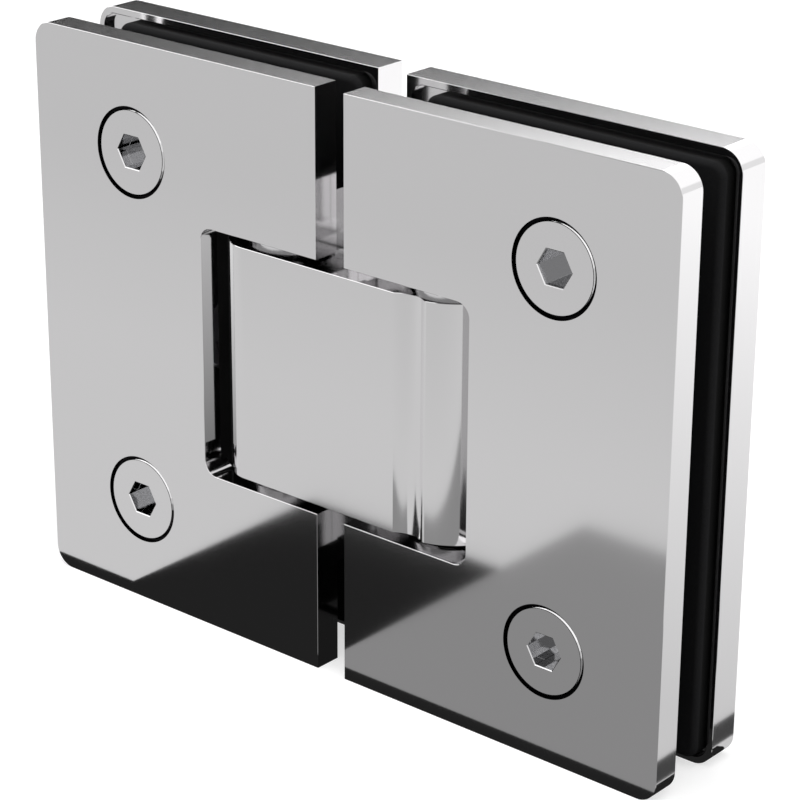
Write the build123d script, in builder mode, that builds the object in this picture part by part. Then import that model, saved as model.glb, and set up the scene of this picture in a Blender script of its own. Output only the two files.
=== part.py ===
from build123d import *
import os
from math import acos, degrees, radians, sin

os.makedirs("parts", exist_ok=True)

# Two pairs of clamp plates hold two sheets of glass edge to edge.
# X runs along the sheets, Y through them from the front, Z is up.
# The origin is the middle of the closed hinge.

# Clamp plates
hinge_height = 90.0
plate_width = 56.75
plate_gap = 5.3  # between the left and the right pair
front_plate_thickness = 4.5
rear_plate_thickness = 5.3
glass_slot = 8.9  # between the inner faces of a pair
plate_corner_radius = 3.3
plate_edge_chamfer = 0.05

# Notch for the pivot block
notch_reach = 25.4  # from the middle of the hinge to the notch wall
notch_height = 39.4
notch_corner_radius = 2.2

# Gasket pocket and pads
pocket_depth = 1.1
pocket_rim = 1.1
pocket_corner_radius = 2.0
pocket_chamfer = 0.12
pad_clearance = 0.42  # pad edge to pocket wall
pad_proud = 2.1  # pad above the plate's inner face
pad_edge_radius = 0.94
left_pad_short_end = 5.0  # free pocket at the left end of each pad
right_pad_short_end = 3.8
pad_land_gap = 0.5

# Clamping lands beside the notch, which take the pin ends
land_step = 0.2  # land set back from the plate's own edges
land_height = 5.6
land_corner_radius = 1.0
land_joint = 0.1  # between the front and the rear lands
land_pocket_margin = 0.25
rib_height = 9.1
rib_width = 2.8

# Pins
pin_diameter = 8.0
pin_end_flats = 6.0
pin_seat_side_gap = 0.1
pin_seat_wall = 1.0
pin_end_gap = 0.2
pin_chamfer = 0.5
pin_length_in_block = 9.75
detent_depth = 1.2
detent_height = 12.0

# Pivot block
block_flush_gap = 0.05
block_left_gap = 2.9  # to the left notch wall
block_end_gap = 1.45  # to the notch's upper and lower walls
block_corner_radius = 5.2
block_chamfer = 0.06
barrel_gap = 0.6  # to the right notch wall
flute_before_pin = 3.6
flute_past_pin = 1.85
flute_depth = 1.05
flute_edge_radius = 0.5  # where the flute meets the barrel
bore_clearance = 0.5  # between the bushes, around the spindle

# Bushes and spacers
running_clearance = 0.05
seat_clearance = 0.02
bush_wall = 1.45
bush_length = 11.0
bush_chamfer = 0.3
flange_overhang = 1.0
flange_gap = 0.25  # to the plates that turn over it

# Spring plunger and its bore
plunger_diameter = 9.9
plunger_length = 14.0
plunger_nose_gap = 0.15
plunger_nose_radius = 1.2
spring_pocket_depth = 9.0
spring_pocket_diameter = 7.6
spring_wire = 1.2
spring_outer_diameter = 7.2
spring_turns = 8
plug_diameter = 12.0
plug_length = 6.5
plug_recess = 1.0
plug_nub_diameter = 4.2
plug_nub_length = 2.0
plug_socket = 6.0
plug_socket_depth = 3.5

# Locking screws at the block's left end
lock_screw_diameter = 5.0
lock_screw_length = 4.0
lock_screw_z = 13.3
lock_flat_depth = 1.2
lock_flat_height = 6.0
lock_socket = 2.5
lock_socket_depth = 2.0

# Clamp screws
screw_offset = 2.9  # towards the notch from the middle of the closed end
screw_from_end = 16.9  # to the plate's upper or lower end
screw_diameter = 8.0
screw_length = 15.0
head_diameter = 13.3
head_recess = 0.15
head_rim = 0.35
head_rim_chamfer = 0.22
head_gap = 0.4  # around the rim of the head
head_seat_gap = 0.05  # between the cones
screw_hole_gap = 0.2
screw_tip_chamfer = 0.8
socket_across_flats = 5.0
socket_depth = 6.0
socket_edge = 0.12
socket_cone = 0.9
thread_end_gap = 0.9

# Threaded bosses and the sleeves that keep the screws off the glass
boss_diameter = 11.0
boss_height = 4.0
boss_chamfer = 0.4
sleeve_wall = 1.4
sleeve_gap = 0.1
sleeve_end_gap = 0.05
island_margin = 1.5
island_pad_gap = 0.25

# Levels through the hinge
total_depth = front_plate_thickness + glass_slot + rear_plate_thickness
front_face = -total_depth / 2
rear_face = total_depth / 2
front_inner = front_face + front_plate_thickness
rear_inner = rear_face - rear_plate_thickness
front_floor = front_inner - pocket_depth
rear_floor = rear_inner + pocket_depth

# Sizes that follow from the ones above
plate_start = plate_gap / 2
plate_end = plate_start + plate_width
plate_top = hinge_height / 2
notch_top = notch_height / 2
land_bottom = notch_top + land_step
land_top = land_bottom + land_height
rib_top = land_bottom + rib_height
land_start = plate_start + land_step
land_end = notch_reach - land_step
seat_top = land_top - pin_seat_wall
pin_top = seat_top - pin_end_gap
pin_radius = pin_diameter / 2
block_left = -notch_reach + block_left_gap
block_half_depth = total_depth / 2 - block_flush_gap
block_top = notch_top - block_end_gap
pin_x = notch_reach - barrel_gap - block_half_depth
flute_start = pin_x - flute_before_pin
flute_end = pin_x + flute_past_pin
bush_radius = pin_radius + running_clearance + bush_wall
flange_radius = bush_radius + flange_overhang
flange_thickness = block_end_gap - flange_gap
bore_radius = pin_radius + bore_clearance
plunger_nose = pin_x - pin_radius - plunger_nose_gap
plunger_back = plunger_nose - plunger_length
plunger_bore_radius = plunger_diameter / 2 + running_clearance
plug_outer = block_left + plug_recess
plug_inner = plug_outer + plug_length
island_diameter = boss_diameter + 2 * (sleeve_gap + sleeve_wall + island_margin)
sleeve_inner_radius = boss_diameter / 2 + sleeve_gap
boss_level = rear_inner - boss_height
screw_tip = front_face + head_recess + screw_length
screw_x = (notch_reach + plate_end) / 2 - screw_offset
screw_z = plate_top - screw_from_end
screw_spots = [(screw_x, screw_z), (screw_x, -screw_z)]


def facing(y):
    """Plane that faces the front at depth y, with X to the right and Z up."""
    return Plane.XZ.offset(-y)


# Outline of a right-hand plate, notched on the side of the gap
with BuildSketch() as plate_outline:
    with Locations((plate_start, 0)):
        Rectangle(plate_width, hinge_height, align=(Align.MIN, Align.CENTER))
    fillet(plate_outline.vertices().group_by(Axis.X)[-1], plate_corner_radius)
    with Locations((0, 0)):
        Rectangle(notch_reach, notch_height, align=(Align.MIN, Align.CENTER), mode=Mode.SUBTRACT)
    notch_corners = plate_outline.vertices().filter_by(
        lambda v: abs(v.X - notch_reach) < 0.01 and abs(v.Y) < notch_top + 0.01
    )
    fillet(notch_corners, notch_corner_radius)

# Pocket for the pad: a rim is left all round, and the screws keep round islands
with BuildSketch() as pocket_outline:
    with Locations((plate_start + pocket_rim, 0)):
        Rectangle(
            plate_width - 2 * pocket_rim,
            hinge_height - 2 * pocket_rim,
            align=(Align.MIN, Align.CENTER),
        )
    fillet(pocket_outline.vertices().group_by(Axis.X)[-1], plate_corner_radius - pocket_rim)
    fillet(pocket_outline.vertices().group_by(Axis.X)[0], pocket_corner_radius)
    with Locations((0, 0)):
        Rectangle(
            land_end,
            2 * (land_top + land_pocket_margin),
            align=(Align.MIN, Align.CENTER),
            mode=Mode.SUBTRACT,
        )
        Rectangle(
            land_start + rib_width + land_pocket_margin,
            2 * (rib_top + land_pocket_margin),
            align=(Align.MIN, Align.CENTER),
            mode=Mode.SUBTRACT,
        )
    with Locations(*screw_spots):
        Circle(island_diameter / 2, mode=Mode.SUBTRACT)

# Lands above and below the notch, with a taller rib beside the gap
with BuildSketch() as land_outline:
    with Locations((land_start, land_bottom)):
        Rectangle(land_end - land_start, land_height, align=(Align.MIN, Align.MIN))
        Rectangle(rib_width, rib_height, align=(Align.MIN, Align.MIN))
    fillet(land_outline.vertices().sort_by(Axis.X)[-2:].sort_by(Axis.Y)[-1], land_corner_radius)
    mirror(about=Plane.XZ)

# Pads are C-shaped around the lands, open to the notch
pad_notch_height = 2 * (land_top + land_pocket_margin + pad_land_gap)
pad_rib_height = 2 * (rib_top + land_pocket_margin + pad_land_gap)
pad_height = hinge_height - 2 * (pocket_rim + pad_clearance)
pad_corner_radius = pocket_corner_radius
island_hole_radius = island_diameter / 2 + island_pad_gap

with BuildSketch() as right_pad_outline:
    right_pad_start = plate_start + pocket_rim + right_pad_short_end
    right_pad_end = plate_end - pocket_rim - pad_clearance
    with Locations((right_pad_start, 0)):
        Rectangle(right_pad_end - right_pad_start, pad_height, align=(Align.MIN, Align.CENTER))
    fillet(right_pad_outline.vertices(), pad_corner_radius)
    with Locations((0, 0)):
        Rectangle(notch_reach, pad_notch_height, align=(Align.MIN, Align.CENTER), mode=Mode.SUBTRACT)
    with Locations(*screw_spots):
        Circle(island_hole_radius, mode=Mode.SUBTRACT)

with BuildSketch() as left_pad_outline:
    left_pad_start = -plate_end + pocket_rim + left_pad_short_end
    left_pad_end = -plate_start - pocket_rim - pad_clearance
    with Locations((left_pad_start, 0)):
        Rectangle(left_pad_end - left_pad_start, pad_height, align=(Align.MIN, Align.CENTER))
    fillet(left_pad_outline.vertices(), pad_corner_radius)
    with Locations((0, 0)):
        Rectangle(notch_reach, pad_notch_height, align=(Align.MAX, Align.CENTER), mode=Mode.SUBTRACT)
        Rectangle(
            land_start + rib_width + land_pocket_margin + pad_land_gap,
            pad_rib_height,
            align=(Align.MAX, Align.CENTER),
            mode=Mode.SUBTRACT,
        )
    with Locations(*[(-x, z) for x, z in screw_spots]):
        Circle(island_hole_radius, mode=Mode.SUBTRACT)

# Front plate, right: polished face, countersunk holes, pocket and lands behind
with BuildPart(facing(front_face)) as front_plate_right:
    with BuildSketch(facing(front_face)):
        add(plate_outline.sketch_local)
    extrude(amount=-front_plate_thickness)
    rims = front_plate_right.edges().group_by(Axis.Y)
    chamfer(rims[0] + rims[-1], plate_edge_chamfer)
    with BuildSketch(facing(front_inner)):
        add(pocket_outline.sketch_local)
    extrude(amount=pocket_depth, mode=Mode.SUBTRACT)
    pocket_edges = front_plate_right.edges(Select.LAST).filter_by_position(
        Axis.Y, front_inner - 0.01, front_inner + 0.01
    )
    clear_edges = pocket_edges.filter_by(lambda e: abs(e.center().X - land_end) > land_corner_radius)
    chamfer(clear_edges, pocket_chamfer)
    with BuildSketch(facing(front_inner)):
        add(land_outline.sketch_local)
    extrude(amount=front_inner + land_joint / 2)
    with BuildSketch(facing(-pin_end_flats / 2 - seat_clearance)):
        with Locations((pin_x, land_bottom), (pin_x, -land_bottom)):
            Rectangle(pin_diameter + 2 * pin_seat_side_gap, 2 * (seat_top - land_bottom))
        with Locations((pin_x, 0)):
            Rectangle(plate_width, 2 * land_bottom, mode=Mode.SUBTRACT)
    extrude(amount=-pin_end_flats, mode=Mode.SUBTRACT)
    # Countersinks start with a short straight wall round the head's rim
    with BuildSketch(facing(front_face)):
        with Locations(*screw_spots):
            Circle(head_diameter / 2 + head_gap)
    extrude(amount=-(head_recess + head_rim), mode=Mode.SUBTRACT)
    with Locations(*[(x, z, -(head_recess + head_rim)) for x, z in screw_spots]):
        CounterSinkHole(
            screw_diameter / 2 + screw_hole_gap,
            head_diameter / 2 + head_seat_gap,
            counter_sink_angle=90,
        )

# Rear plate, right: unbroken polished face, threaded bosses inside
with BuildPart() as rear_plate_right:
    with BuildSketch(facing(rear_inner)):
        add(plate_outline.sketch_local)
    extrude(amount=-rear_plate_thickness)
    rims = rear_plate_right.edges().group_by(Axis.Y)
    chamfer(rims[0] + rims[-1], plate_edge_chamfer)
    with BuildSketch(facing(rear_inner)):
        add(pocket_outline.sketch_local)
    extrude(amount=-pocket_depth, mode=Mode.SUBTRACT)
    pocket_edges = rear_plate_right.edges(Select.LAST).filter_by_position(
        Axis.Y, rear_inner - 0.01, rear_inner + 0.01
    )
    clear_edges = pocket_edges.filter_by(lambda e: abs(e.center().X - land_end) > land_corner_radius)
    chamfer(clear_edges, pocket_chamfer)
    with BuildSketch(facing(rear_inner)):
        add(land_outline.sketch_local)
    extrude(amount=rear_inner - land_joint / 2)
    with BuildSketch(facing(pin_end_flats / 2 + seat_clearance)):
        with Locations((pin_x, land_bottom), (pin_x, -land_bottom)):
            Rectangle(pin_diameter + 2 * pin_seat_side_gap, 2 * (seat_top - land_bottom))
        with Locations((pin_x, 0)):
            Rectangle(plate_width, 2 * land_bottom, mode=Mode.SUBTRACT)
    extrude(amount=pin_end_flats, mode=Mode.SUBTRACT)
    with BuildSketch(facing(rear_inner)):
        with Locations(*screw_spots):
            Circle(boss_diameter / 2)
    extrude(amount=boss_height)
    boss_rims = rear_plate_right.edges().filter_by(GeomType.CIRCLE).filter_by(
        lambda e: abs(e.center().Y - boss_level) < 0.01 and abs(e.radius - boss_diameter / 2) < 0.01
    )
    chamfer(boss_rims, boss_chamfer)
    with BuildSketch(facing(boss_level)):
        with Locations(*screw_spots):
            Circle(screw_diameter / 2 + seat_clearance)
    extrude(amount=-(screw_tip + thread_end_gap - boss_level), mode=Mode.SUBTRACT)

# Left-hand plates are the mirror images
with BuildPart() as front_plate_left:
    add(front_plate_right.part)
    mirror(about=Plane.YZ, mode=Mode.REPLACE)

with BuildPart() as rear_plate_left:
    add(rear_plate_right.part)
    mirror(about=Plane.YZ, mode=Mode.REPLACE)

# Rubber pads, rounded on the side of the glass
with BuildPart() as front_gasket_right:
    with BuildSketch(facing(front_floor)):
        add(right_pad_outline.sketch_local)
    extrude(amount=-(pocket_depth + pad_proud))
    glass_side = front_gasket_right.faces().sort_by(Axis.Y)[-1]
    fillet(glass_side.outer_wire().edges(), pad_edge_radius)

with BuildPart() as rear_gasket_right:
    with BuildSketch(facing(rear_floor)):
        add(right_pad_outline.sketch_local)
    extrude(amount=pocket_depth + pad_proud)
    glass_side = rear_gasket_right.faces().sort_by(Axis.Y)[0]
    fillet(glass_side.outer_wire().edges(), pad_edge_radius)

with BuildPart() as front_gasket_left:
    with BuildSketch(facing(front_floor)):
        add(left_pad_outline.sketch_local)
    extrude(amount=-(pocket_depth + pad_proud))
    glass_side = front_gasket_left.faces().sort_by(Axis.Y)[-1]
    fillet(glass_side.outer_wire().edges(), pad_edge_radius)

with BuildPart() as rear_gasket_left:
    with BuildSketch(facing(rear_floor)):
        add(left_pad_outline.sketch_local)
    extrude(amount=pocket_depth + pad_proud)
    glass_side = rear_gasket_left.faces().sort_by(Axis.Y)[0]
    fillet(glass_side.outer_wire().edges(), pad_edge_radius)

# Countersunk clamp screw with a hexagon socket, on the Y axis
head_top = front_face + head_recess
head_height = head_rim + (head_diameter - screw_diameter) / 2
with BuildPart() as clamp_screw:
    with BuildSketch(Plane.XY):
        with BuildLine():
            Polyline(
                (0, head_top),
                (head_diameter / 2 - head_rim_chamfer, head_top),
                (head_diameter / 2, head_top + head_rim_chamfer),
                (head_diameter / 2, head_top + head_rim),
                (screw_diameter / 2, head_top + head_height),
                (screw_diameter / 2, screw_tip - screw_tip_chamfer),
                (screw_diameter / 2 - screw_tip_chamfer, screw_tip),
                (0, screw_tip),
                close=True,
            )
        make_face()
    revolve(axis=Axis.Y)
    with BuildSketch(facing(head_top)):
        RegularPolygon(socket_across_flats / 2, 6, major_radius=False)
    extrude(amount=-socket_depth, mode=Mode.SUBTRACT)
    chamfer(clamp_screw.edges(Select.LAST).group_by(Axis.Y)[0], socket_edge)
    with BuildSketch(Plane.XY):
        with BuildLine():
            Polyline(
                (0, head_top + socket_depth - 0.01),
                (socket_across_flats / 2, head_top + socket_depth - 0.01),
                (0, head_top + socket_depth + socket_cone),
                close=True,
            )
        make_face()
    revolve(axis=Axis.Y, mode=Mode.SUBTRACT)

with BuildPart() as clamp_screw_right_upper:
    with Locations((screw_x, 0, screw_z)):
        add(clamp_screw.part)

with BuildPart() as clamp_screw_right_lower:
    with Locations((screw_x, 0, -screw_z)):
        add(clamp_screw.part)

with BuildPart() as clamp_screw_left_upper:
    with Locations((-screw_x, 0, screw_z)):
        add(clamp_screw.part)

with BuildPart() as clamp_screw_left_lower:
    with Locations((-screw_x, 0, -screw_z)):
        add(clamp_screw.part)

# Sleeve round a screw and its boss, between the two plates
with BuildPart() as glass_sleeve:
    with BuildSketch(facing(front_inner + sleeve_end_gap)):
        Circle(sleeve_inner_radius + sleeve_wall)
        Circle(sleeve_inner_radius, mode=Mode.SUBTRACT)
    extrude(amount=-(glass_slot - 2 * sleeve_end_gap))

with BuildPart() as glass_sleeve_right_upper:
    with Locations((screw_x, 0, screw_z)):
        add(glass_sleeve.part)

with BuildPart() as glass_sleeve_right_lower:
    with Locations((screw_x, 0, -screw_z)):
        add(glass_sleeve.part)

with BuildPart() as glass_sleeve_left_upper:
    with Locations((-screw_x, 0, screw_z)):
        add(glass_sleeve.part)

with BuildPart() as glass_sleeve_left_lower:
    with Locations((-screw_x, 0, -screw_z)):
        add(glass_sleeve.part)

# Pivot block: flat faces, a flute on each side, then a barrel about the spindle
barrel_angle = degrees(acos((flute_end - pin_x) / block_half_depth))
flute_end_y = block_half_depth * sin(radians(barrel_angle))
flute_middle = (flute_start + flute_end) / 2
with BuildPart() as pivot_block:
    with BuildSketch(Plane.XY.offset(-block_top)) as block_plan:
        with BuildLine():
            Polyline(
                (block_left, 0),
                (block_left, block_half_depth),
                (flute_start, block_half_depth),
            )
            ThreePointArc(
                (flute_start, block_half_depth),
                (flute_middle, block_half_depth - flute_depth),
                (flute_end, flute_end_y),
            )
            CenterArc((pin_x, 0), block_half_depth, 0, barrel_angle)
            mirror(about=Plane.XZ)
        make_face()
        fillet(block_plan.vertices().group_by(Axis.X)[0], block_corner_radius)
    extrude(amount=2 * block_top)
    ends = pivot_block.edges().group_by(Axis.Z)
    chamfer(ends[0] + ends[-1], block_chamfer)
    upright = pivot_block.edges().filter_by(Axis.Z)
    fillet(upright.filter_by(lambda e: abs(e.center().X - flute_end) < 0.01), flute_edge_radius)
    # Through bore with a seat for a bush at each end
    with Locations((pin_x, 0, 0)):
        Cylinder(bore_radius, 2 * block_top, mode=Mode.SUBTRACT)
    with BuildSketch(Plane.XY.offset(block_top)):
        with Locations((pin_x, 0)):
            Circle(bush_radius + seat_clearance)
    extrude(amount=-bush_length, mode=Mode.SUBTRACT)
    with BuildSketch(Plane.XY.offset(-block_top)):
        with Locations((pin_x, 0)):
            Circle(bush_radius + seat_clearance)
    extrude(amount=bush_length, mode=Mode.SUBTRACT)
    # Blind holes for the fixed pins
    with BuildSketch(Plane.XY.offset(block_top)):
        with Locations((-pin_x, 0)):
            Circle(pin_radius + seat_clearance)
    extrude(amount=-(pin_length_in_block + pin_end_gap), mode=Mode.SUBTRACT)
    with BuildSketch(Plane.XY.offset(-block_top)):
        with Locations((-pin_x, 0)):
            Circle(pin_radius + seat_clearance)
    extrude(amount=pin_length_in_block + pin_end_gap, mode=Mode.SUBTRACT)
    # Plunger bore from the left end, widened for the plug
    with BuildSketch(Plane.YZ.offset(block_left)):
        Circle(plunger_bore_radius)
    extrude(amount=pin_x - block_left, mode=Mode.SUBTRACT)
    with BuildSketch(Plane.YZ.offset(block_left)):
        Circle(plug_diameter / 2 + seat_clearance)
    extrude(amount=plug_recess + plug_length, mode=Mode.SUBTRACT)
    with BuildSketch(Plane.YZ.offset(block_left)):
        with Locations((0, lock_screw_z), (0, -lock_screw_z)):
            Circle(lock_screw_diameter / 2 + seat_clearance)
    extrude(amount=-pin_x - block_left, mode=Mode.SUBTRACT)

# Spindle, held by its flatted ends in the lands of the right-hand plates
with BuildPart() as spindle:
    with Locations((pin_x, 0, 0)):
        Cylinder(pin_radius, 2 * pin_top)
    chamfer(spindle.edges().group_by(Axis.Z)[0] + spindle.edges().group_by(Axis.Z)[-1], pin_chamfer)
    for side in (1, -1):
        with BuildSketch(Plane.XZ.offset(-side * pin_end_flats / 2)):
            with Locations((pin_x, pin_top), (pin_x, -pin_top)):
                Rectangle(pin_diameter, 2 * (pin_top - notch_top))
        extrude(amount=-side * pin_radius, mode=Mode.SUBTRACT)
    with BuildSketch(Plane.YZ.offset(pin_x - pin_radius + detent_depth)):
        Rectangle(pin_diameter, detent_height)
    extrude(amount=-pin_radius, mode=Mode.SUBTRACT)

# Flanged bushes that the spindle turns in
with BuildPart() as bush_upper:
    with BuildSketch(Plane.XY.offset(block_top)):
        with Locations((pin_x, 0)):
            Circle(bush_radius)
    extrude(amount=-bush_length)
    chamfer(bush_upper.edges().group_by(Axis.Z)[0], bush_chamfer)
    with BuildSketch(Plane.XY.offset(block_top)):
        with Locations((pin_x, 0)):
            Circle(flange_radius)
    extrude(amount=flange_thickness)
    chamfer(bush_upper.edges().group_by(Axis.Z)[-1], bush_chamfer)
    with Locations((pin_x, 0, 0)):
        Cylinder(pin_radius + running_clearance, hinge_height, mode=Mode.SUBTRACT)

with BuildPart() as bush_lower:
    add(bush_upper.part)
    mirror(about=Plane.XY, mode=Mode.REPLACE)

# Fixed pins tie the block's left end to the left-hand plates
pin_foot = block_top - pin_length_in_block
with BuildPart() as fixed_pin_upper:
    with BuildSketch(Plane.XY.offset(pin_foot)):
        with Locations((-pin_x, 0)):
            Circle(pin_radius)
    extrude(amount=pin_top - pin_foot)
    ends = fixed_pin_upper.edges().group_by(Axis.Z)
    chamfer(ends[0] + ends[-1], pin_chamfer)
    for side in (1, -1):
        with BuildSketch(Plane.XZ.offset(-side * pin_end_flats / 2)):
            with Locations((-pin_x, pin_top)):
                Rectangle(pin_diameter, 2 * (pin_top - notch_top))
        extrude(amount=-side * pin_radius, mode=Mode.SUBTRACT)
    with BuildSketch(Plane.YZ.offset(-pin_x - pin_radius + lock_flat_depth)):
        with Locations((0, lock_screw_z)):
            Rectangle(pin_diameter, lock_flat_height)
    extrude(amount=-pin_radius, mode=Mode.SUBTRACT)

with BuildPart() as fixed_pin_lower:
    add(fixed_pin_upper.part)
    mirror(about=Plane.XY, mode=Mode.REPLACE)

# Spacers on the fixed pins, level with the bush flanges
with BuildPart() as spacer_upper:
    with BuildSketch(Plane.XY.offset(block_top)):
        with Locations((-pin_x, 0)):
            Circle(flange_radius)
            Circle(pin_radius + seat_clearance, mode=Mode.SUBTRACT)
    extrude(amount=flange_thickness)
    rim = spacer_upper.edges().group_by(Axis.Z)[-1].sort_by(SortBy.RADIUS)[-1]
    chamfer(rim, bush_chamfer)

with BuildPart() as spacer_lower:
    add(spacer_upper.part)
    mirror(about=Plane.XY, mode=Mode.REPLACE)

# Plunger: a cup round the spring, its flat nose towards the spindle
with BuildPart() as plunger:
    with BuildSketch(Plane.YZ.offset(plunger_back)):
        Circle(plunger_diameter / 2)
    extrude(amount=plunger_length)
    fillet(plunger.edges().group_by(Axis.X)[-1], plunger_nose_radius)
    with BuildSketch(Plane.YZ.offset(plunger_back)):
        Circle(spring_pocket_diameter / 2)
    extrude(amount=spring_pocket_depth, mode=Mode.SUBTRACT)

# Compression spring between the plug and the plunger
spring_start = plug_inner + spring_wire / 2 + seat_clearance
spring_end = plunger_back + spring_pocket_depth - spring_wire / 2 - seat_clearance
spring_radius = (spring_outer_diameter - spring_wire) / 2
with BuildPart() as plunger_spring:
    with BuildLine():
        coil = Helix(
            pitch=(spring_end - spring_start) / spring_turns,
            height=spring_end - spring_start,
            radius=spring_radius,
            center=(spring_start, 0, 0),
            direction=(1, 0, 0),
        )
    with BuildSketch(Plane(origin=coil @ 0, z_dir=coil % 0)):
        Circle(spring_wire / 2)
    sweep()

# Plug that closes the bore and sets the spring
with BuildPart() as adjusting_plug:
    with BuildSketch(Plane.YZ.offset(plug_outer)):
        Circle(plug_diameter / 2)
    extrude(amount=plug_length)
    ends = adjusting_plug.edges().group_by(Axis.X)
    chamfer(ends[0] + ends[-1], pin_chamfer)
    with BuildSketch(Plane.YZ.offset(plug_inner)):
        Circle(plug_nub_diameter / 2)
    extrude(amount=plug_nub_length)
    with BuildSketch(Plane.YZ.offset(plug_outer)):
        RegularPolygon(plug_socket / 2, 6, major_radius=False)
    extrude(amount=plug_socket_depth, mode=Mode.SUBTRACT)

# Locking screws that bear on the flats of the fixed pins
lock_tip = -pin_x - pin_radius + lock_flat_depth
with BuildPart() as locking_screw_upper:
    with BuildSketch(Plane.YZ.offset(lock_tip - lock_screw_length)):
        with Locations((0, lock_screw_z)):
            Circle(lock_screw_diameter / 2)
    extrude(amount=lock_screw_length)
    chamfer(locking_screw_upper.edges().group_by(Axis.X)[-1], pin_chamfer)
    with BuildSketch(Plane.YZ.offset(lock_tip - lock_screw_length)):
        with Locations((0, lock_screw_z)):
            RegularPolygon(lock_socket / 2, 6, major_radius=False)
    extrude(amount=lock_socket_depth, mode=Mode.SUBTRACT)

with BuildPart() as locking_screw_lower:
    add(locking_screw_upper.part)
    mirror(about=Plane.XY, mode=Mode.REPLACE)

front_plate_left.part.label = "front_plate_left"
front_plate_right.part.label = "front_plate_right"
rear_plate_left.part.label = "rear_plate_left"
rear_plate_right.part.label = "rear_plate_right"
front_gasket_left.part.label = "front_gasket_left"
front_gasket_right.part.label = "front_gasket_right"
rear_gasket_left.part.label = "rear_gasket_left"
rear_gasket_right.part.label = "rear_gasket_right"
clamp_screw_left_upper.part.label = "clamp_screw_left_upper"
clamp_screw_left_lower.part.label = "clamp_screw_left_lower"
clamp_screw_right_upper.part.label = "clamp_screw_right_upper"
clamp_screw_right_lower.part.label = "clamp_screw_right_lower"
glass_sleeve_left_upper.part.label = "glass_sleeve_left_upper"
glass_sleeve_left_lower.part.label = "glass_sleeve_left_lower"
glass_sleeve_right_upper.part.label = "glass_sleeve_right_upper"
glass_sleeve_right_lower.part.label = "glass_sleeve_right_lower"
pivot_block.part.label = "pivot_block"
spindle.part.label = "spindle"
bush_upper.part.label = "bush_upper"
bush_lower.part.label = "bush_lower"
fixed_pin_upper.part.label = "fixed_pin_upper"
fixed_pin_lower.part.label = "fixed_pin_lower"
spacer_upper.part.label = "spacer_upper"
spacer_lower.part.label = "spacer_lower"
plunger.part.label = "plunger"
plunger_spring.part.label = "plunger_spring"
adjusting_plug.part.label = "adjusting_plug"
locking_screw_upper.part.label = "locking_screw_upper"
locking_screw_lower.part.label = "locking_screw_lower"

export_step(front_plate_left.part, "parts/front_plate_left.step")
export_step(front_plate_right.part, "parts/front_plate_right.step")
export_step(rear_plate_left.part, "parts/rear_plate_left.step")
export_step(rear_plate_right.part, "parts/rear_plate_right.step")
export_step(front_gasket_left.part, "parts/front_gasket_left.step")
export_step(front_gasket_right.part, "parts/front_gasket_right.step")
export_step(rear_gasket_left.part, "parts/rear_gasket_left.step")
export_step(rear_gasket_right.part, "parts/rear_gasket_right.step")
export_step(clamp_screw_left_upper.part, "parts/clamp_screw_left_upper.step")
export_step(clamp_screw_left_lower.part, "parts/clamp_screw_left_lower.step")
export_step(clamp_screw_right_upper.part, "parts/clamp_screw_right_upper.step")
export_step(clamp_screw_right_lower.part, "parts/clamp_screw_right_lower.step")
export_step(glass_sleeve_left_upper.part, "parts/glass_sleeve_left_upper.step")
export_step(glass_sleeve_left_lower.part, "parts/glass_sleeve_left_lower.step")
export_step(glass_sleeve_right_upper.part, "parts/glass_sleeve_right_upper.step")
export_step(glass_sleeve_right_lower.part, "parts/glass_sleeve_right_lower.step")
export_step(pivot_block.part, "parts/pivot_block.step")
export_step(spindle.part, "parts/spindle.step")
export_step(bush_upper.part, "parts/bush_upper.step")
export_step(bush_lower.part, "parts/bush_lower.step")
export_step(fixed_pin_upper.part, "parts/fixed_pin_upper.step")
export_step(fixed_pin_lower.part, "parts/fixed_pin_lower.step")
export_step(spacer_upper.part, "parts/spacer_upper.step")
export_step(spacer_lower.part, "parts/spacer_lower.step")
export_step(plunger.part, "parts/plunger.step")
export_step(plunger_spring.part, "parts/plunger_spring.step")
export_step(adjusting_plug.part, "parts/adjusting_plug.step")
export_step(locking_screw_upper.part, "parts/locking_screw_upper.step")
export_step(locking_screw_lower.part, "parts/locking_screw_lower.step")
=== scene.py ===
import math

import bpy
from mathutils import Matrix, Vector


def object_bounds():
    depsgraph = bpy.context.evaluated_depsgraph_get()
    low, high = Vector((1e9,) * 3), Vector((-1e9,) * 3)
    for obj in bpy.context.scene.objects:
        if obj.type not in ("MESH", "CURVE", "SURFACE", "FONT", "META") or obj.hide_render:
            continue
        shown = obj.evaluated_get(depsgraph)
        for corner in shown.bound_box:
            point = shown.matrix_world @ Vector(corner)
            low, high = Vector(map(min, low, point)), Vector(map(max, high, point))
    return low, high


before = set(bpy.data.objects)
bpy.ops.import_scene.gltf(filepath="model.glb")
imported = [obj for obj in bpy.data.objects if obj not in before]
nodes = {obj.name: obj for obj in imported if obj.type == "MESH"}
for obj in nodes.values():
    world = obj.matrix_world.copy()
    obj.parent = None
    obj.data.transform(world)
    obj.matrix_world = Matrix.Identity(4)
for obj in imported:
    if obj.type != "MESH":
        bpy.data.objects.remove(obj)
cadLow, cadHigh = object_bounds()
scene = bpy.context.scene
scene.view_settings.view_transform = "Standard"
mm = 0.001
floorLevel = cadLow.z  # the hinge stands on its lower plate edges
frontFace = cadLow.y
screwPlace = (39.5 * mm, 28.1 * mm)  # x and z of a screw's axis; the other three are its mirror images
print("frame loaded:", len(nodes), "nodes")


def linear(hexColour):  # sRGB hex to the linear colour that the shaders take
    values = [int(hexColour[i : i + 2], 16) / 255 for i in (1, 3, 5)]
    return tuple(v / 12.92 if v <= 0.04045 else ((v + 0.055) / 1.055) ** 2.4 for v in values) + (1.0,)


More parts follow.
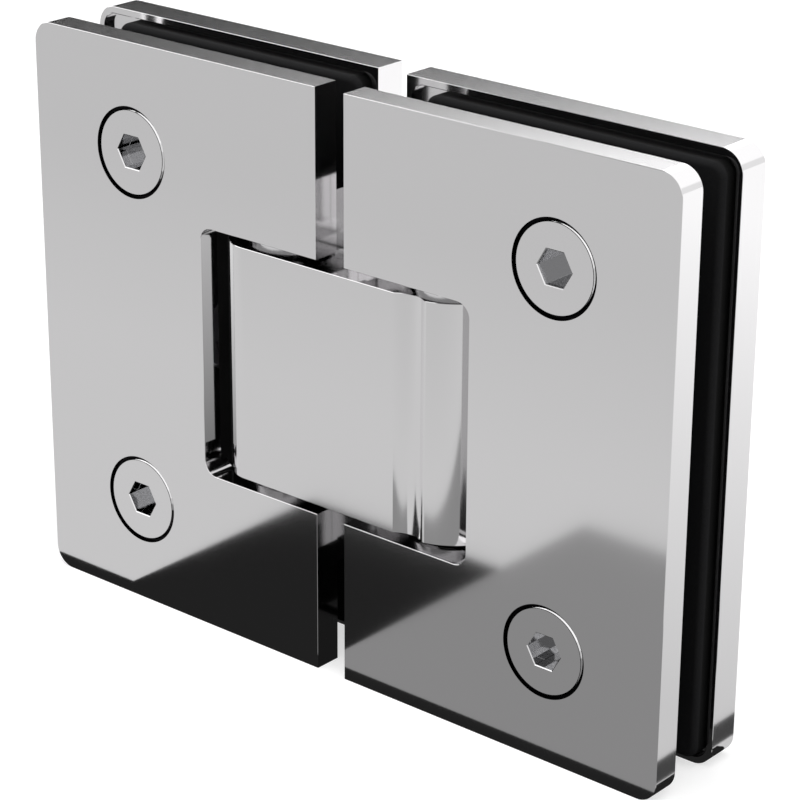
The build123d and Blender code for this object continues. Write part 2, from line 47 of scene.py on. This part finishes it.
def addNode(tree, kind, settings=None, links=None):  # settings are the node's properties or its inputs
    made = tree.nodes.new(kind)
    for name, value in (settings or {}).items():
        if isinstance(name, str) and hasattr(made, name):
            setattr(made, name, value)
        else:
            made.inputs[name].default_value = value
    for name, source in (links or {}).items():
        tree.links.new(source, made.inputs[name])
    return made


def emptyTree(holder):  # the cleared node tree of a material or a world
    holder.use_nodes = True
    holder.node_tree.nodes.clear()
    return holder.node_tree


def newMaterial(name, shader):  # a material with its Principled shader set, and nothing linked yet
    material = bpy.data.materials.new(name)
    tree = emptyTree(material)
    surface = addNode(tree, "ShaderNodeBsdfPrincipled", shader)
    addNode(tree, "ShaderNodeOutputMaterial", links={"Surface": surface.outputs["BSDF"]})
    return material, tree, surface


def dress(material, *names):  # CAD nodes keep their mesh and take the material in their slots
    for name in names:
        for slot in nodes[name].material_slots:
            slot.material = material


def insideBox(tree, position, low, high):  # 1 inside a box in mm, else 0: |P - centre| / half size is below 1
    centre = [(a + b) / 2 * mm for a, b in zip(low, high)]
    half = [(b - a) / 2 * mm for a, b in zip(low, high)]
    moved = addNode(tree, "ShaderNodeVectorMath", {"operation": "SUBTRACT", 1: centre}, {0: position})
    folded = addNode(tree, "ShaderNodeVectorMath", {"operation": "ABSOLUTE"}, {0: moved.outputs[0]})
    scaled = addNode(tree, "ShaderNodeVectorMath", {"operation": "DIVIDE", 1: half}, {0: folded.outputs[0]})
    parts = addNode(tree, "ShaderNodeSeparateXYZ", links={0: scaled.outputs[0]})
    wider = addNode(
        tree, "ShaderNodeMath", {"operation": "MAXIMUM"}, {0: parts.outputs["X"], 1: parts.outputs["Y"]}
    )
    widest = addNode(
        tree, "ShaderNodeMath", {"operation": "MAXIMUM"}, {0: wider.outputs[0], 1: parts.outputs["Z"]}
    )
    return addNode(tree, "ShaderNodeMath", {"operation": "LESS_THAN", 1: 1.0}, {0: widest.outputs[0]}).outputs[0]


def fromScrewAxis(tree, position):  # distance to the nearest screw's axis: length of |P| - screwPlace in X and Z
    mirrored = addNode(tree, "ShaderNodeVectorMath", {"operation": "ABSOLUTE"}, {0: position})
    away = addNode(
        tree, "ShaderNodeVectorMath", {"operation": "SUBTRACT", 1: (screwPlace[0], 0, screwPlace[1])},
        {0: mirrored.outputs[0]},
    )
    flat = addNode(tree, "ShaderNodeVectorMath", {"operation": "MULTIPLY", 1: (1, 0, 1)}, {0: away.outputs[0]})
    return addNode(tree, "ShaderNodeVectorMath", {"operation": "LENGTH"}, {0: flat.outputs[0]}).outputs["Value"]


# Chrome on cast brass plates. The broad faces are buffed to a mirror and stay a little soft from it,
# the upper and lower edges are only bead-blasted before plating, so the eye sees sharp reflections in front
# and a fine satin grain along the top.
plateFinish = {
    "colour": "#FAF9FA",
    "roughness": 0.1,
    "hazeSize": 14 * mm,  # faint uneven buffing
    "hazeDetail": 3.0,
    "haze": 0.012,
    "edgeTurn": (0.6, 0.95),  # how far a face has to look up or down to count as blasted
    "edgeRoughness": 0.095,
    "grainSize": 0.25 * mm,  # the beads are about 0.1 mm; drawn coarser so that it shows
    "grainDetail": 2.0,
    "grainDepth": 0.0045 * mm,
    "holeShadeColour": "#0E0E0F",  # painted shade in the mouth of each screw hole
    "holeRadius": 7.06 * mm,
    "holeDepth": -8.8 * mm,
    "recessShadeColour": "#CBCACB",  # painted shade in the notch, along the lower gap edges and on the lands
    "recessShadePlaces": {  # boxes in mm, lowest and highest corner; they stop just short of the outer faces
        "notch": ((-25.45, -9.29, -19.75), (25.45, 9.29, 19.75)),
        "lowerGapEdges": ((-2.7, -9.29, -46.0), (2.7, 0.0, 0.0)),
        "lands": ((-22.0, -4.9, -33.0), (22.0, 4.2, 33.0)),
    },
}
chromePlate, tree, surface = newMaterial("chromedBrassPlate", {"Metallic": 1.0})
place = addNode(tree, "ShaderNodeTexCoord")
within = addNode(
    tree, "ShaderNodeMath", {"operation": "LESS_THAN", 1: plateFinish["holeRadius"]},
    {0: fromScrewAxis(tree, place.outputs["Object"])},
)
depth = addNode(tree, "ShaderNodeSeparateXYZ", links={0: place.outputs["Object"]})
front = addNode(
    tree, "ShaderNodeMath", {"operation": "LESS_THAN", 1: plateFinish["holeDepth"]}, {0: depth.outputs["Y"]}
)
inHole = addNode(tree, "ShaderNodeMath", {"operation": "MULTIPLY"}, {0: within.outputs[0], 1: front.outputs[0]})
recessShade = None
for low, high in plateFinish["recessShadePlaces"].values():
    here = insideBox(tree, place.outputs["Object"], low, high)
    if recessShade is not None:
        here = addNode(tree, "ShaderNodeMath", {"operation": "MAXIMUM"}, {0: recessShade, 1: here}).outputs[0]
    recessShade = here
# the plating colour, darkened by painted shade in the recesses
platedWithShade = addNode(
    tree, "ShaderNodeMix",
    {"data_type": "RGBA", 6: linear(plateFinish["colour"]), 7: linear(plateFinish["recessShadeColour"])},
    {0: recessShade},
)
tone = addNode(
    tree, "ShaderNodeMix", {"data_type": "RGBA", 7: linear(plateFinish["holeShadeColour"])},
    {0: inHole.outputs[0], 6: platedWithShade.outputs[2]},
)
facing = addNode(tree, "ShaderNodeSeparateXYZ", links={0: place.outputs["Normal"]})
upward = addNode(tree, "ShaderNodeMath", {"operation": "ABSOLUTE"}, {0: facing.outputs["Z"]})
edgeShare = addNode(
    tree, "ShaderNodeMapRange",
    {"From Min": plateFinish["edgeTurn"][0], "From Max": plateFinish["edgeTurn"][1]}, {"Value": upward.outputs[0]},
)
haze = addNode(
    tree, "ShaderNodeTexNoise", {"Scale": 1 / plateFinish["hazeSize"], "Detail": plateFinish["hazeDetail"]},
    {"Vector": place.outputs["Object"]},
)
faceRoughness = addNode(
    tree, "ShaderNodeMapRange",
    {"To Min": plateFinish["roughness"] - plateFinish["haze"],
     "To Max": plateFinish["roughness"] + plateFinish["haze"]},
    {"Value": haze.outputs["Fac"]},
)
roughness = addNode(
    tree, "ShaderNodeMix", {"B": plateFinish["edgeRoughness"]},
    {"Factor": edgeShare.outputs["Result"], "A": faceRoughness.outputs["Result"]},
)
grain = addNode(
    tree, "ShaderNodeTexNoise", {"Scale": 1 / plateFinish["grainSize"], "Detail": plateFinish["grainDetail"]},
    {"Vector": place.outputs["Object"]},
)
grainHeight = addNode(
    tree, "ShaderNodeMath", {"operation": "MULTIPLY"}, {0: grain.outputs["Fac"], 1: edgeShare.outputs["Result"]}
)
relief = addNode(
    tree, "ShaderNodeBump", {"Strength": 1.0, "Distance": plateFinish["grainDepth"]},
    {"Height": grainHeight.outputs[0]},
)
tree.links.new(tone.outputs[2], surface.inputs["Base Color"])
tree.links.new(roughness.outputs["Result"], surface.inputs["Roughness"])
tree.links.new(relief.outputs["Normal"], surface.inputs["Normal"])
dress(chromePlate, "front_plate_left", "front_plate_right", "rear_plate_left", "rear_plate_right")

# Chrome on the machined brass block: milled, then buffed lengthwise, so that its mirror is drawn out
# a little along the flutes.
blockFinish = {
    "colour": "#FAF9FA",
    "roughness": 0.1,
    "drawLength": 30 * mm,
    "drawWidth": 0.35 * mm,  # buffing lines are finer; drawn coarser so that they show
    "drawDetail": 2.0,
    "drawDepth": 0.0002 * mm,
    "endShadeColour": "#CBCACB",  # painted shade on the ends, which look up or down
    "endTurn": 0.95,  # how far a face has to look up or down to count as an end
}
chromeBlock, tree, surface = newMaterial(
    "chromedBrassBlock", {"Metallic": 1.0, "Roughness": blockFinish["roughness"]}
)
place = addNode(tree, "ShaderNodeTexCoord")
facing = addNode(tree, "ShaderNodeSeparateXYZ", links={0: place.outputs["Normal"]})
upward = addNode(tree, "ShaderNodeMath", {"operation": "ABSOLUTE"}, {0: facing.outputs["Z"]})
atEnd = addNode(
    tree, "ShaderNodeMath", {"operation": "GREATER_THAN", 1: blockFinish["endTurn"]}, {0: upward.outputs[0]}
)
tone = addNode(
    tree, "ShaderNodeMix",
    {"data_type": "RGBA", 6: linear(blockFinish["colour"]), 7: linear(blockFinish["endShadeColour"])},
    {0: atEnd.outputs[0]},
)
drawn = addNode(
    tree, "ShaderNodeMapping",
    {"Scale": (1 / blockFinish["drawWidth"], 1 / blockFinish["drawWidth"], 1 / blockFinish["drawLength"])},
    {"Vector": place.outputs["Object"]},
)
lines = addNode(
    tree, "ShaderNodeTexNoise", {"Scale": 1.0, "Detail": blockFinish["drawDetail"]}, {"Vector": drawn.outputs[0]}
)
relief = addNode(
    tree, "ShaderNodeBump", {"Strength": 1.0, "Distance": blockFinish["drawDepth"]}, {"Height": lines.outputs["Fac"]}
)
tree.links.new(tone.outputs[2], surface.inputs["Base Color"])
tree.links.new(relief.outputs["Normal"], surface.inputs["Normal"])
dress(chromeBlock, "pivot_block")

# Turned and chromed screw heads. Facing in the lathe leaves rings about the socket; buffing takes most of
# them off, so the eye sees a mirror that is only just ringed. Painted shade darkens a thin ring at the edge
# of each head's flat and the inside of the socket.
screwFinish = {
    "colour": "#FAF9FA",
    "roughness": 0.09,
    "ringPitch": 0.25 * mm,
    "ringDepth": 0.00006 * mm,
    "grooveShadeColour": "#161617",
    "grooveShadeLine": (6.43 * mm, 0.04 * mm),  # ring of painted shade where the bevel starts: its radius and half its width
    "socketShadeColour": "#D8D8D9",  # painted shade in the socket, which the punch leaves smooth
    "socketRoughness": 0.04,
    "socketReach": 4.3 * mm,
    "socketMouth": (-9.19 * mm, -9.06 * mm),  # from which depth to which the finish changes
    "socketEnd": -3.26 * mm,
}
chromeScrew, tree, surface = newMaterial("chromedSteelScrew", {"Metallic": 1.0})
place = addNode(tree, "ShaderNodeTexCoord")
radius = fromScrewAxis(tree, place.outputs["Object"])
depth = addNode(tree, "ShaderNodeSeparateXYZ", links={0: place.outputs["Object"]})
down = addNode(
    tree, "ShaderNodeMapRange",
    {"From Min": screwFinish["socketMouth"][0], "From Max": screwFinish["socketMouth"][1]},
    {"Value": depth.outputs["Y"]},
)
within = addNode(tree, "ShaderNodeMath", {"operation": "LESS_THAN", 1: screwFinish["socketReach"]}, {0: radius})
inSocket = addNode(
    tree, "ShaderNodeMath", {"operation": "MULTIPLY"}, {0: down.outputs["Result"], 1: within.outputs[0]}
)
platedWithShade = addNode(
    tree, "ShaderNodeMix",
    {"data_type": "RGBA", 6: linear(screwFinish["colour"]), 7: linear(screwFinish["socketShadeColour"])},
    {0: inSocket.outputs[0]},
)
# the thin ring of painted shade at the edge of the head's flat
grooveShadeLine = addNode(
    tree, "ShaderNodeMath", {"operation": "COMPARE", 1: screwFinish["grooveShadeLine"][0], 2: screwFinish["grooveShadeLine"][1]},
    {0: radius},
)
tone = addNode(
    tree, "ShaderNodeMix", {"data_type": "RGBA", 7: linear(screwFinish["grooveShadeColour"])},
    {0: grooveShadeLine.outputs[0], 6: platedWithShade.outputs[2]},
)
smooth = addNode(
    tree, "ShaderNodeMix", {"A": screwFinish["roughness"], "B": screwFinish["socketRoughness"]},
    {"Factor": inSocket.outputs[0]},
)
turns = addNode(
    tree, "ShaderNodeMath", {"operation": "MULTIPLY", 1: 2 * math.pi / screwFinish["ringPitch"]}, {0: radius}
)
rings = addNode(tree, "ShaderNodeMath", {"operation": "SINE"}, {0: turns.outputs[0]})
outside = addNode(tree, "ShaderNodeMath", {"operation": "SUBTRACT", 0: 1.0}, {1: inSocket.outputs[0]})
relief = addNode(
    tree, "ShaderNodeBump", {"Distance": screwFinish["ringDepth"]},
    {"Height": rings.outputs[0], "Strength": outside.outputs[0]},
)
flatEnd = addNode(  # the socket ends in a shallow cone, which mirrors as if it were flat
    tree, "ShaderNodeVectorTransform",
    {"vector_type": "NORMAL", "convert_from": "OBJECT", "convert_to": "WORLD", 0: (0, -1, 0)},
)
beyond = addNode(
    tree, "ShaderNodeMath", {"operation": "GREATER_THAN", 1: screwFinish["socketEnd"]}, {0: depth.outputs["Y"]}
)
atEnd = addNode(tree, "ShaderNodeMath", {"operation": "MULTIPLY"}, {0: beyond.outputs[0], 1: within.outputs[0]})
bent = addNode(
    tree, "ShaderNodeMix", {"data_type": "VECTOR"},
    {0: atEnd.outputs[0], 4: relief.outputs["Normal"], 5: flatEnd.outputs[0]},
)
tree.links.new(tone.outputs[2], surface.inputs["Base Color"])
tree.links.new(smooth.outputs["Result"], surface.inputs["Roughness"])
tree.links.new(bent.outputs[1], surface.inputs["Normal"])
dress(
    chromeScrew,
    "clamp_screw_left_upper", "clamp_screw_left_lower", "clamp_screw_right_upper", "clamp_screw_right_lower",
)

# Moulded neoprene pads: soot-filled, so nearly black through and through, from a blasted mould that leaves
# a faint grain and only a weak sheen on the rounded edges.
padFinish = {
    "colour": "#151516",
    "dust": "#222223",
    "flankShade": "#0A0A0A",  # painted shade on the cut sides
    "flatTurn": (0.05, 0.2),  # how far a face has to look forward or back to take dust instead of the painted shade of the sides
    "roughness": 0.6,
    "index": 1.5,
    "sheen": 0.1,
    "grainSize": 0.22 * mm,
    "grainDetail": 2.0,
    "grainDepth": 0.004 * mm,
}
neoprene, tree, surface = newMaterial(
    "mouldedNeoprene",
    {"Roughness": padFinish["roughness"], "IOR": padFinish["index"], "Specular IOR Level": padFinish["sheen"]},
)
place = addNode(tree, "ShaderNodeTexCoord")
grain = addNode(
    tree, "ShaderNodeTexNoise", {"Scale": 1 / padFinish["grainSize"], "Detail": padFinish["grainDetail"]},
    {"Vector": place.outputs["Object"]},
)
dusted = addNode(
    tree, "ShaderNodeMix",
    {"data_type": "RGBA", 6: linear(padFinish["colour"]), 7: linear(padFinish["dust"])}, {0: grain.outputs["Fac"]},
)
facing = addNode(tree, "ShaderNodeSeparateXYZ", links={0: place.outputs["Normal"]})
flat = addNode(tree, "ShaderNodeMath", {"operation": "ABSOLUTE"}, {0: facing.outputs["Y"]})
flatShare = addNode(
    tree, "ShaderNodeMapRange",
    {"From Min": padFinish["flatTurn"][0], "From Max": padFinish["flatTurn"][1]}, {"Value": flat.outputs[0]},
)
# sides facing along X or Z take the painted shade, the flats their dusted colour
tone = addNode(
    tree, "ShaderNodeMix", {"data_type": "RGBA", 6: linear(padFinish["flankShade"])},
    {0: flatShare.outputs["Result"], 7: dusted.outputs[2]},
)
relief = addNode(
    tree, "ShaderNodeBump", {"Strength": 1.0, "Distance": padFinish["grainDepth"]}, {"Height": grain.outputs["Fac"]}
)
tree.links.new(tone.outputs[2], surface.inputs["Base Color"])
tree.links.new(relief.outputs["Normal"], surface.inputs["Normal"])
dress(neoprene, "front_gasket_left", "front_gasket_right", "rear_gasket_left", "rear_gasket_right")

# The smaller pieces: each takes fine marks that run round it or along it, as its making leaves them.
# "marks" is the size of a mark along X, Y and Z in mm, and "depth" how deep it is.
smallFinishes = {
    "groundSteel": {  # centreless ground pins: fine rings round Z under a soft silver sheen
        "colour": "#D0D0D2", "other": "#B6B6B9", "metallic": 1.0, "roughness": 0.22,
        "marks": (3.0, 3.0, 0.06), "depth": 0.0006,
        "on": ("spindle", "fixed_pin_upper", "fixed_pin_lower"),
    },
    "polishedSteelBush": {  # faced and polished bushes and spacers: nearly as bright as the chrome
        "colour": "#F6F6F6", "other": "#E5E5E6", "metallic": 1.0, "roughness": 0.12,
        "marks": (1.2, 1.2, 0.1), "depth": 0.0003,
        "on": ("bush_upper", "bush_lower", "spacer_upper", "spacer_lower"),
    },
    "turnedSteel": {  # turned plunger and plug: rings round X from the lathe, duller than the ground pins
        "colour": "#C1C1C5", "other": "#A0A0A5", "metallic": 1.0, "roughness": 0.3,
        "marks": (0.12, 2.0, 2.0), "depth": 0.002,
        "on": ("plunger", "adjusting_plug"),
    },
    "drawnSpringSteel": {  # oiled, drawn and coiled wire: dark, with a straw-brown heat tint in patches
        "colour": "#78746F", "other": "#968A78", "metallic": 1.0, "roughness": 0.34,
        "marks": (0.5, 0.5, 0.5), "depth": 0.001,
        "on": ("plunger_spring",),
    },
    "blackOxideSteel": {  # chemically blackened set screws: a thin matt coat, blotched by the bath
        "colour": "#1B1B1D", "other": "#2A2A2C", "metallic": 0.6, "roughness": 0.42,
        "marks": (0.6, 0.6, 0.6), "depth": 0.002,
        "on": ("locking_screw_upper", "locking_screw_lower"),
    },
    "naturalNylon": {  # moulded sleeves of undyed nylon: milky, with a faint waxy mottle
        "colour": "#D9D6CE", "other": "#C9C5BA", "metallic": 0.0, "roughness": 0.38,
        "marks": (1.5, 1.5, 1.5), "depth": 0.003,
        "on": (
            "glass_sleeve_left_upper", "glass_sleeve_left_lower",
            "glass_sleeve_right_upper", "glass_sleeve_right_lower",
        ),
    },
}
markDetail = 3.0
for name, finish in smallFinishes.items():
    material, tree, surface = newMaterial(name, {"Metallic": finish["metallic"], "Roughness": finish["roughness"]})
    place = addNode(tree, "ShaderNodeTexCoord")
    spread = addNode(
        tree, "ShaderNodeMapping", {"Scale": tuple(1 / (size * mm) for size in finish["marks"])},
        {"Vector": place.outputs["Object"]},
    )
    marks = addNode(tree, "ShaderNodeTexNoise", {"Scale": 1.0, "Detail": markDetail}, {"Vector": spread.outputs[0]})
    tone = addNode(
        tree, "ShaderNodeMix", {"data_type": "RGBA", 6: linear(finish["colour"]), 7: linear(finish["other"])},
        {0: marks.outputs["Fac"]},
    )
    relief = addNode(
        tree, "ShaderNodeBump", {"Strength": 1.0, "Distance": finish["depth"] * mm}, {"Height": marks.outputs["Fac"]}
    )
    tree.links.new(tone.outputs[2], surface.inputs["Base Color"])
    tree.links.new(relief.outputs["Normal"], surface.inputs["Normal"])
    dress(material, *finish["on"])
print("materials made")

# Studio: a white floor, white surroundings, and grey cards on the floor that only the metal sees
cameraView = {
    "lens": 125.035,
    "sensor": 36.0,
    "clip": (0.01, 50.0),
    "place": (0.247408, -0.284717, 0.148156),
    "turn": (68.0678, -0.3261, 40.5147),  # in degrees
}
camera = bpy.data.objects.new("camera", bpy.data.cameras.new("camera"))
scene.collection.objects.link(camera)
camera.data.lens = cameraView["lens"]
camera.data.sensor_width = cameraView["sensor"]
camera.data.clip_start, camera.data.clip_end = cameraView["clip"]
camera.location = cameraView["place"]
camera.rotation_euler = [math.radians(a) for a in cameraView["turn"]]
scene.camera = camera


def makeCard(name, corners):  # a four-cornered sheet of the studio
    mesh = bpy.data.meshes.new(name)
    mesh.from_pydata(corners, [], [(0, 1, 2, 3)])
    card = bpy.data.objects.new(name, mesh)
    scene.collection.objects.link(card)
    return card


def seenByMetal(tree, rays):  # 1 for the rays by which metal and glass see the studio
    return addNode(
        tree, "ShaderNodeMath", {"operation": "MAXIMUM"},
        {0: rays.outputs["Is Glossy Ray"], 1: rays.outputs["Is Transmission Ray"]},
    ).outputs[0]


floorLook = {
    "reach": 6.0,
    "gap": 0.02 * mm,  # keeps the floor from lying in one plane with the lower edges
    "colour": "#C8C8C8",
    "glow": 0.62,
    "mirrored": (0.53, 0.585),  # how bright metal sees it, far in front and just before the hinge
    "near": (-175 * mm, -90 * mm),  # where those two places are
    "added": 0.42,  # what it gains far behind
    "brightens": (15 * mm, 211 * mm),  # from where to where it gains that
}
floorMaterial = bpy.data.materials.new("whiteSweep")
tree = emptyTree(floorMaterial)
rays = addNode(tree, "ShaderNodeLightPath")
paper = addNode(tree, "ShaderNodeBsdfDiffuse", {"Color": linear(floorLook["colour"])})
glow = addNode(tree, "ShaderNodeEmission", {"Strength": floorLook["glow"]})
shown = addNode(tree, "ShaderNodeAddShader", links={0: paper.outputs[0], 1: glow.outputs[0]})
seen = addNode(
    tree, "ShaderNodeMixShader", links={0: rays.outputs["Is Camera Ray"], 1: paper.outputs[0], 2: shown.outputs[0]}
)
place = addNode(tree, "ShaderNodeTexCoord")
depth = addNode(tree, "ShaderNodeSeparateXYZ", links={0: place.outputs["Object"]})
inFront = addNode(
    tree, "ShaderNodeMapRange",
    {"From Min": floorLook["near"][0], "From Max": floorLook["near"][1],
     "To Min": floorLook["mirrored"][0], "To Max": floorLook["mirrored"][1]},
    {"Value": depth.outputs["Y"]},
)
behind = addNode(
    tree, "ShaderNodeMapRange",
    {"From Min": floorLook["brightens"][0], "From Max": floorLook["brightens"][1],
     "To Min": 0.0, "To Max": floorLook["added"]},
    {"Value": depth.outputs["Y"]},
)
level = addNode(
    tree, "ShaderNodeMath", {"operation": "ADD"}, {0: inFront.outputs["Result"], 1: behind.outputs["Result"]}
)
mirrored = addNode(tree, "ShaderNodeEmission", links={"Strength": level.outputs[0]})
whole = addNode(
    tree, "ShaderNodeMixShader", links={0: seenByMetal(tree, rays), 1: seen.outputs[0], 2: mirrored.outputs[0]}
)
underside = addNode(tree, "ShaderNodeNewGeometry")
fromBelow = addNode(  # the hinge can be looked at through the floor from below
    tree, "ShaderNodeMath", {"operation": "MULTIPLY"},
    {0: underside.outputs["Backfacing"], 1: rays.outputs["Is Camera Ray"]},
)
clear = addNode(tree, "ShaderNodeBsdfTransparent")
finished = addNode(
    tree, "ShaderNodeMixShader", links={0: fromBelow.outputs[0], 1: whole.outputs[0], 2: clear.outputs[0]}
)
addNode(tree, "ShaderNodeOutputMaterial", links={"Surface": finished.outputs[0]})
reach = floorLook["reach"]
floorHeight = floorLevel - floorLook["gap"]
floorCorners = [(x * reach, y * reach, floorHeight) for x, y in ((-1, -1), (1, -1), (1, 1), (-1, 1))]
floor = makeCard("floor", floorCorners)
floor.data.materials.append(floorMaterial)

# Cards on the floor, in mm from the front face; only the metal sees them
cardLift = 0.05 * mm
floorCards = {
    "blackCard": {"x": (-45.0, -3.6), "y": (-45.0, -2.9), "grey": "#212121"},
    "greyCard": {"x": (-3.6, 105.0), "y": (-67.5, -2.9), "grey": "#888888"},
    # the strip under the hinge and the strip beside it are painted contact shadow on the floor, seen only in the
    # metal
    "paintedShadowUnder": {"x": (-62.0, 62.0), "y": (-2.9, 19.0), "grey": "#212121"},
    "paintedShadowSide": {"x": (62.8, 66.4), "y": (0.0, 40.0), "grey": "#434343"},
    "backBlackCard": {"x": (-50.0, -6.0), "y": (22.0, 60.0), "grey": "#212121"},
    "backGreyCard": {"x": (-105.0, -50.0), "y": (22.0, 85.0), "grey": "#888888"},
}
cards = {}
for name, card in floorCards.items():
    (x0, x1), (y0, y1) = card["x"], card["y"]
    corners = [
        (x * mm, frontFace + y * mm, floorLevel + cardLift) for x, y in ((x0, y0), (x1, y0), (x1, y1), (x0, y1))
    ]
    cards[name] = (corners, card["grey"], card["grey"])
# A glowing card in the notch, which only the metal sees, paints reflected light on its left wall and the end of the
# block; it pales upward
notchSlip = {
    "x": -24.0 * mm,
    "y": (0.3 * mm, 3.6 * mm),
    "z": (-15.5 * mm, 18.0 * mm),
    "greys": ("#949494", "#DEDEDE"),
}
glowCardCorners = [
    (notchSlip["x"], frontFace + notchSlip["y"][a], notchSlip["z"][b]) for a, b in ((0, 0), (1, 0), (1, 1), (0, 1))
]
cards["notchSlip"] = (glowCardCorners, *notchSlip["greys"])
for name, (corners, lowGrey, highGrey) in cards.items():
    card = makeCard(name, corners)
    material = bpy.data.materials.new(name + "Paper")
    tree = emptyTree(material)
    place = addNode(tree, "ShaderNodeTexCoord")
    split = addNode(tree, "ShaderNodeSeparateXYZ", links={0: place.outputs["Object"]})
    height = addNode(
        tree, "ShaderNodeMapRange", {"From Min": notchSlip["z"][0], "From Max": notchSlip["z"][1]},
        {"Value": split.outputs["Z"]},
    )
    grey = addNode(
        tree, "ShaderNodeMix", {"data_type": "RGBA", 6: linear(lowGrey), 7: linear(highGrey)},
        {0: height.outputs["Result"]},
    )
    tone = addNode(tree, "ShaderNodeEmission", {"Strength": 1.0}, {"Color": grey.outputs[2]})
    addNode(tree, "ShaderNodeOutputMaterial", links={"Surface": tone.outputs[0]})
    card.data.materials.append(material)
    card.visible_camera = card.visible_diffuse = card.visible_shadow = card.visible_transmission = False


def softStep(tree, source, edges, values):  # goes smoothly from one value to the other between the edges
    return addNode(
        tree, "ShaderNodeMapRange",
        {"interpolation_type": "SMOOTHSTEP", "From Min": edges[0], "From Max": edges[1],
         "To Min": values[0], "To Max": values[1]},
        {"Value": source},
    ).outputs["Result"]


# The room: plain light on the object, white for the camera, and for metal a soft box behind on the left
# that stands on shade, with a band all round that brightens upward
roomLook = {
    "plain": 0.4,
    "boxFoot": (16.2, 17.0),  # in degrees of height, where the shade below it ends and where it is full
    "boxTop": (47.0, 51.0),
    "boxLeft": (-140.0, -130.0),  # in degrees from +Y
    "boxRight": (-22.0, -12.0),
    "shade": 0.021,
    "softBox": 1.5,
    "above": 0.1,
    "elsewhere": (0.79, 1.04),
    "elsewhereEdge": (13.0, 18.0),
}
heights = {
    name: [math.sin(math.radians(a)) for a in roomLook[name]] for name in ("boxFoot", "boxTop", "elsewhereEdge")
}
bearings = {name: [math.radians(a) for a in roomLook[name]] for name in ("boxLeft", "boxRight")}
room = bpy.data.worlds.new("studioRoom")
scene.world = room
tree = emptyTree(room)
rays = addNode(tree, "ShaderNodeLightPath")
direction = addNode(tree, "ShaderNodeTexCoord")
part = addNode(tree, "ShaderNodeSeparateXYZ", links={0: direction.outputs["Generated"]})
bearing = addNode(tree, "ShaderNodeMath", {"operation": "ARCTAN2"}, {0: part.outputs["X"], 1: part.outputs["Y"]})
fromLeft = softStep(tree, bearing.outputs[0], bearings["boxLeft"], (0.0, 1.0))
toRight = softStep(tree, bearing.outputs[0], bearings["boxRight"], (1.0, 0.0))
inBox = addNode(tree, "ShaderNodeMath", {"operation": "MULTIPLY"}, {0: fromLeft, 1: toRight})
low = softStep(tree, part.outputs["Z"], heights["boxFoot"], (roomLook["shade"], roomLook["softBox"]))
over = softStep(tree, part.outputs["Z"], heights["boxTop"], (0.0, 1.0))
boxed = addNode(tree, "ShaderNodeMix", {"B": roomLook["above"]}, {"Factor": over, "A": low})
elsewhere = softStep(tree, part.outputs["Z"], heights["elsewhereEdge"], roomLook["elsewhere"])
band = addNode(
    tree, "ShaderNodeMix", links={"Factor": inBox.outputs[0], "A": elsewhere, "B": boxed.outputs["Result"]}
)
white = (1, 1, 1, 1)
plain = addNode(tree, "ShaderNodeBackground", {"Color": white, "Strength": roomLook["plain"]})
backdrop = addNode(tree, "ShaderNodeBackground", {"Color": white, "Strength": 1.0})
aroundMetal = addNode(tree, "ShaderNodeBackground", {"Color": white}, {"Strength": band.outputs["Result"]})
first = addNode(
    tree, "ShaderNodeMixShader",
    links={0: rays.outputs["Is Camera Ray"], 1: plain.outputs[0], 2: backdrop.outputs[0]},
)
second = addNode(
    tree, "ShaderNodeMixShader", links={0: seenByMetal(tree, rays), 1: first.outputs[0], 2: aroundMetal.outputs[0]}
)
addNode(tree, "ShaderNodeOutputWorld", links={"Surface": second.outputs[0]})

softBoxes = {
    "overheadBox": {"place": (0.1, -0.2, 1.3), "size": 1.0, "power": 9.0},
    "leftBox": {"place": (-1.2, -0.7, 0.8), "size": 0.9, "power": 5.0},
    "rightBox": {"place": (1.3, -0.4, 0.7), "size": 0.9, "power": 4.0},
}
for name, box in softBoxes.items():
    light = bpy.data.lights.new(name, "AREA")
    light.size, light.energy = box["size"], box["power"]
    lamp = bpy.data.objects.new(name, light)
    scene.collection.objects.link(lamp)
    lamp.location = box["place"]
    lamp.rotation_euler = (-Vector(box["place"])).to_track_quat("-Z", "Y").to_euler()
    lamp.visible_glossy = False
print("studio set")
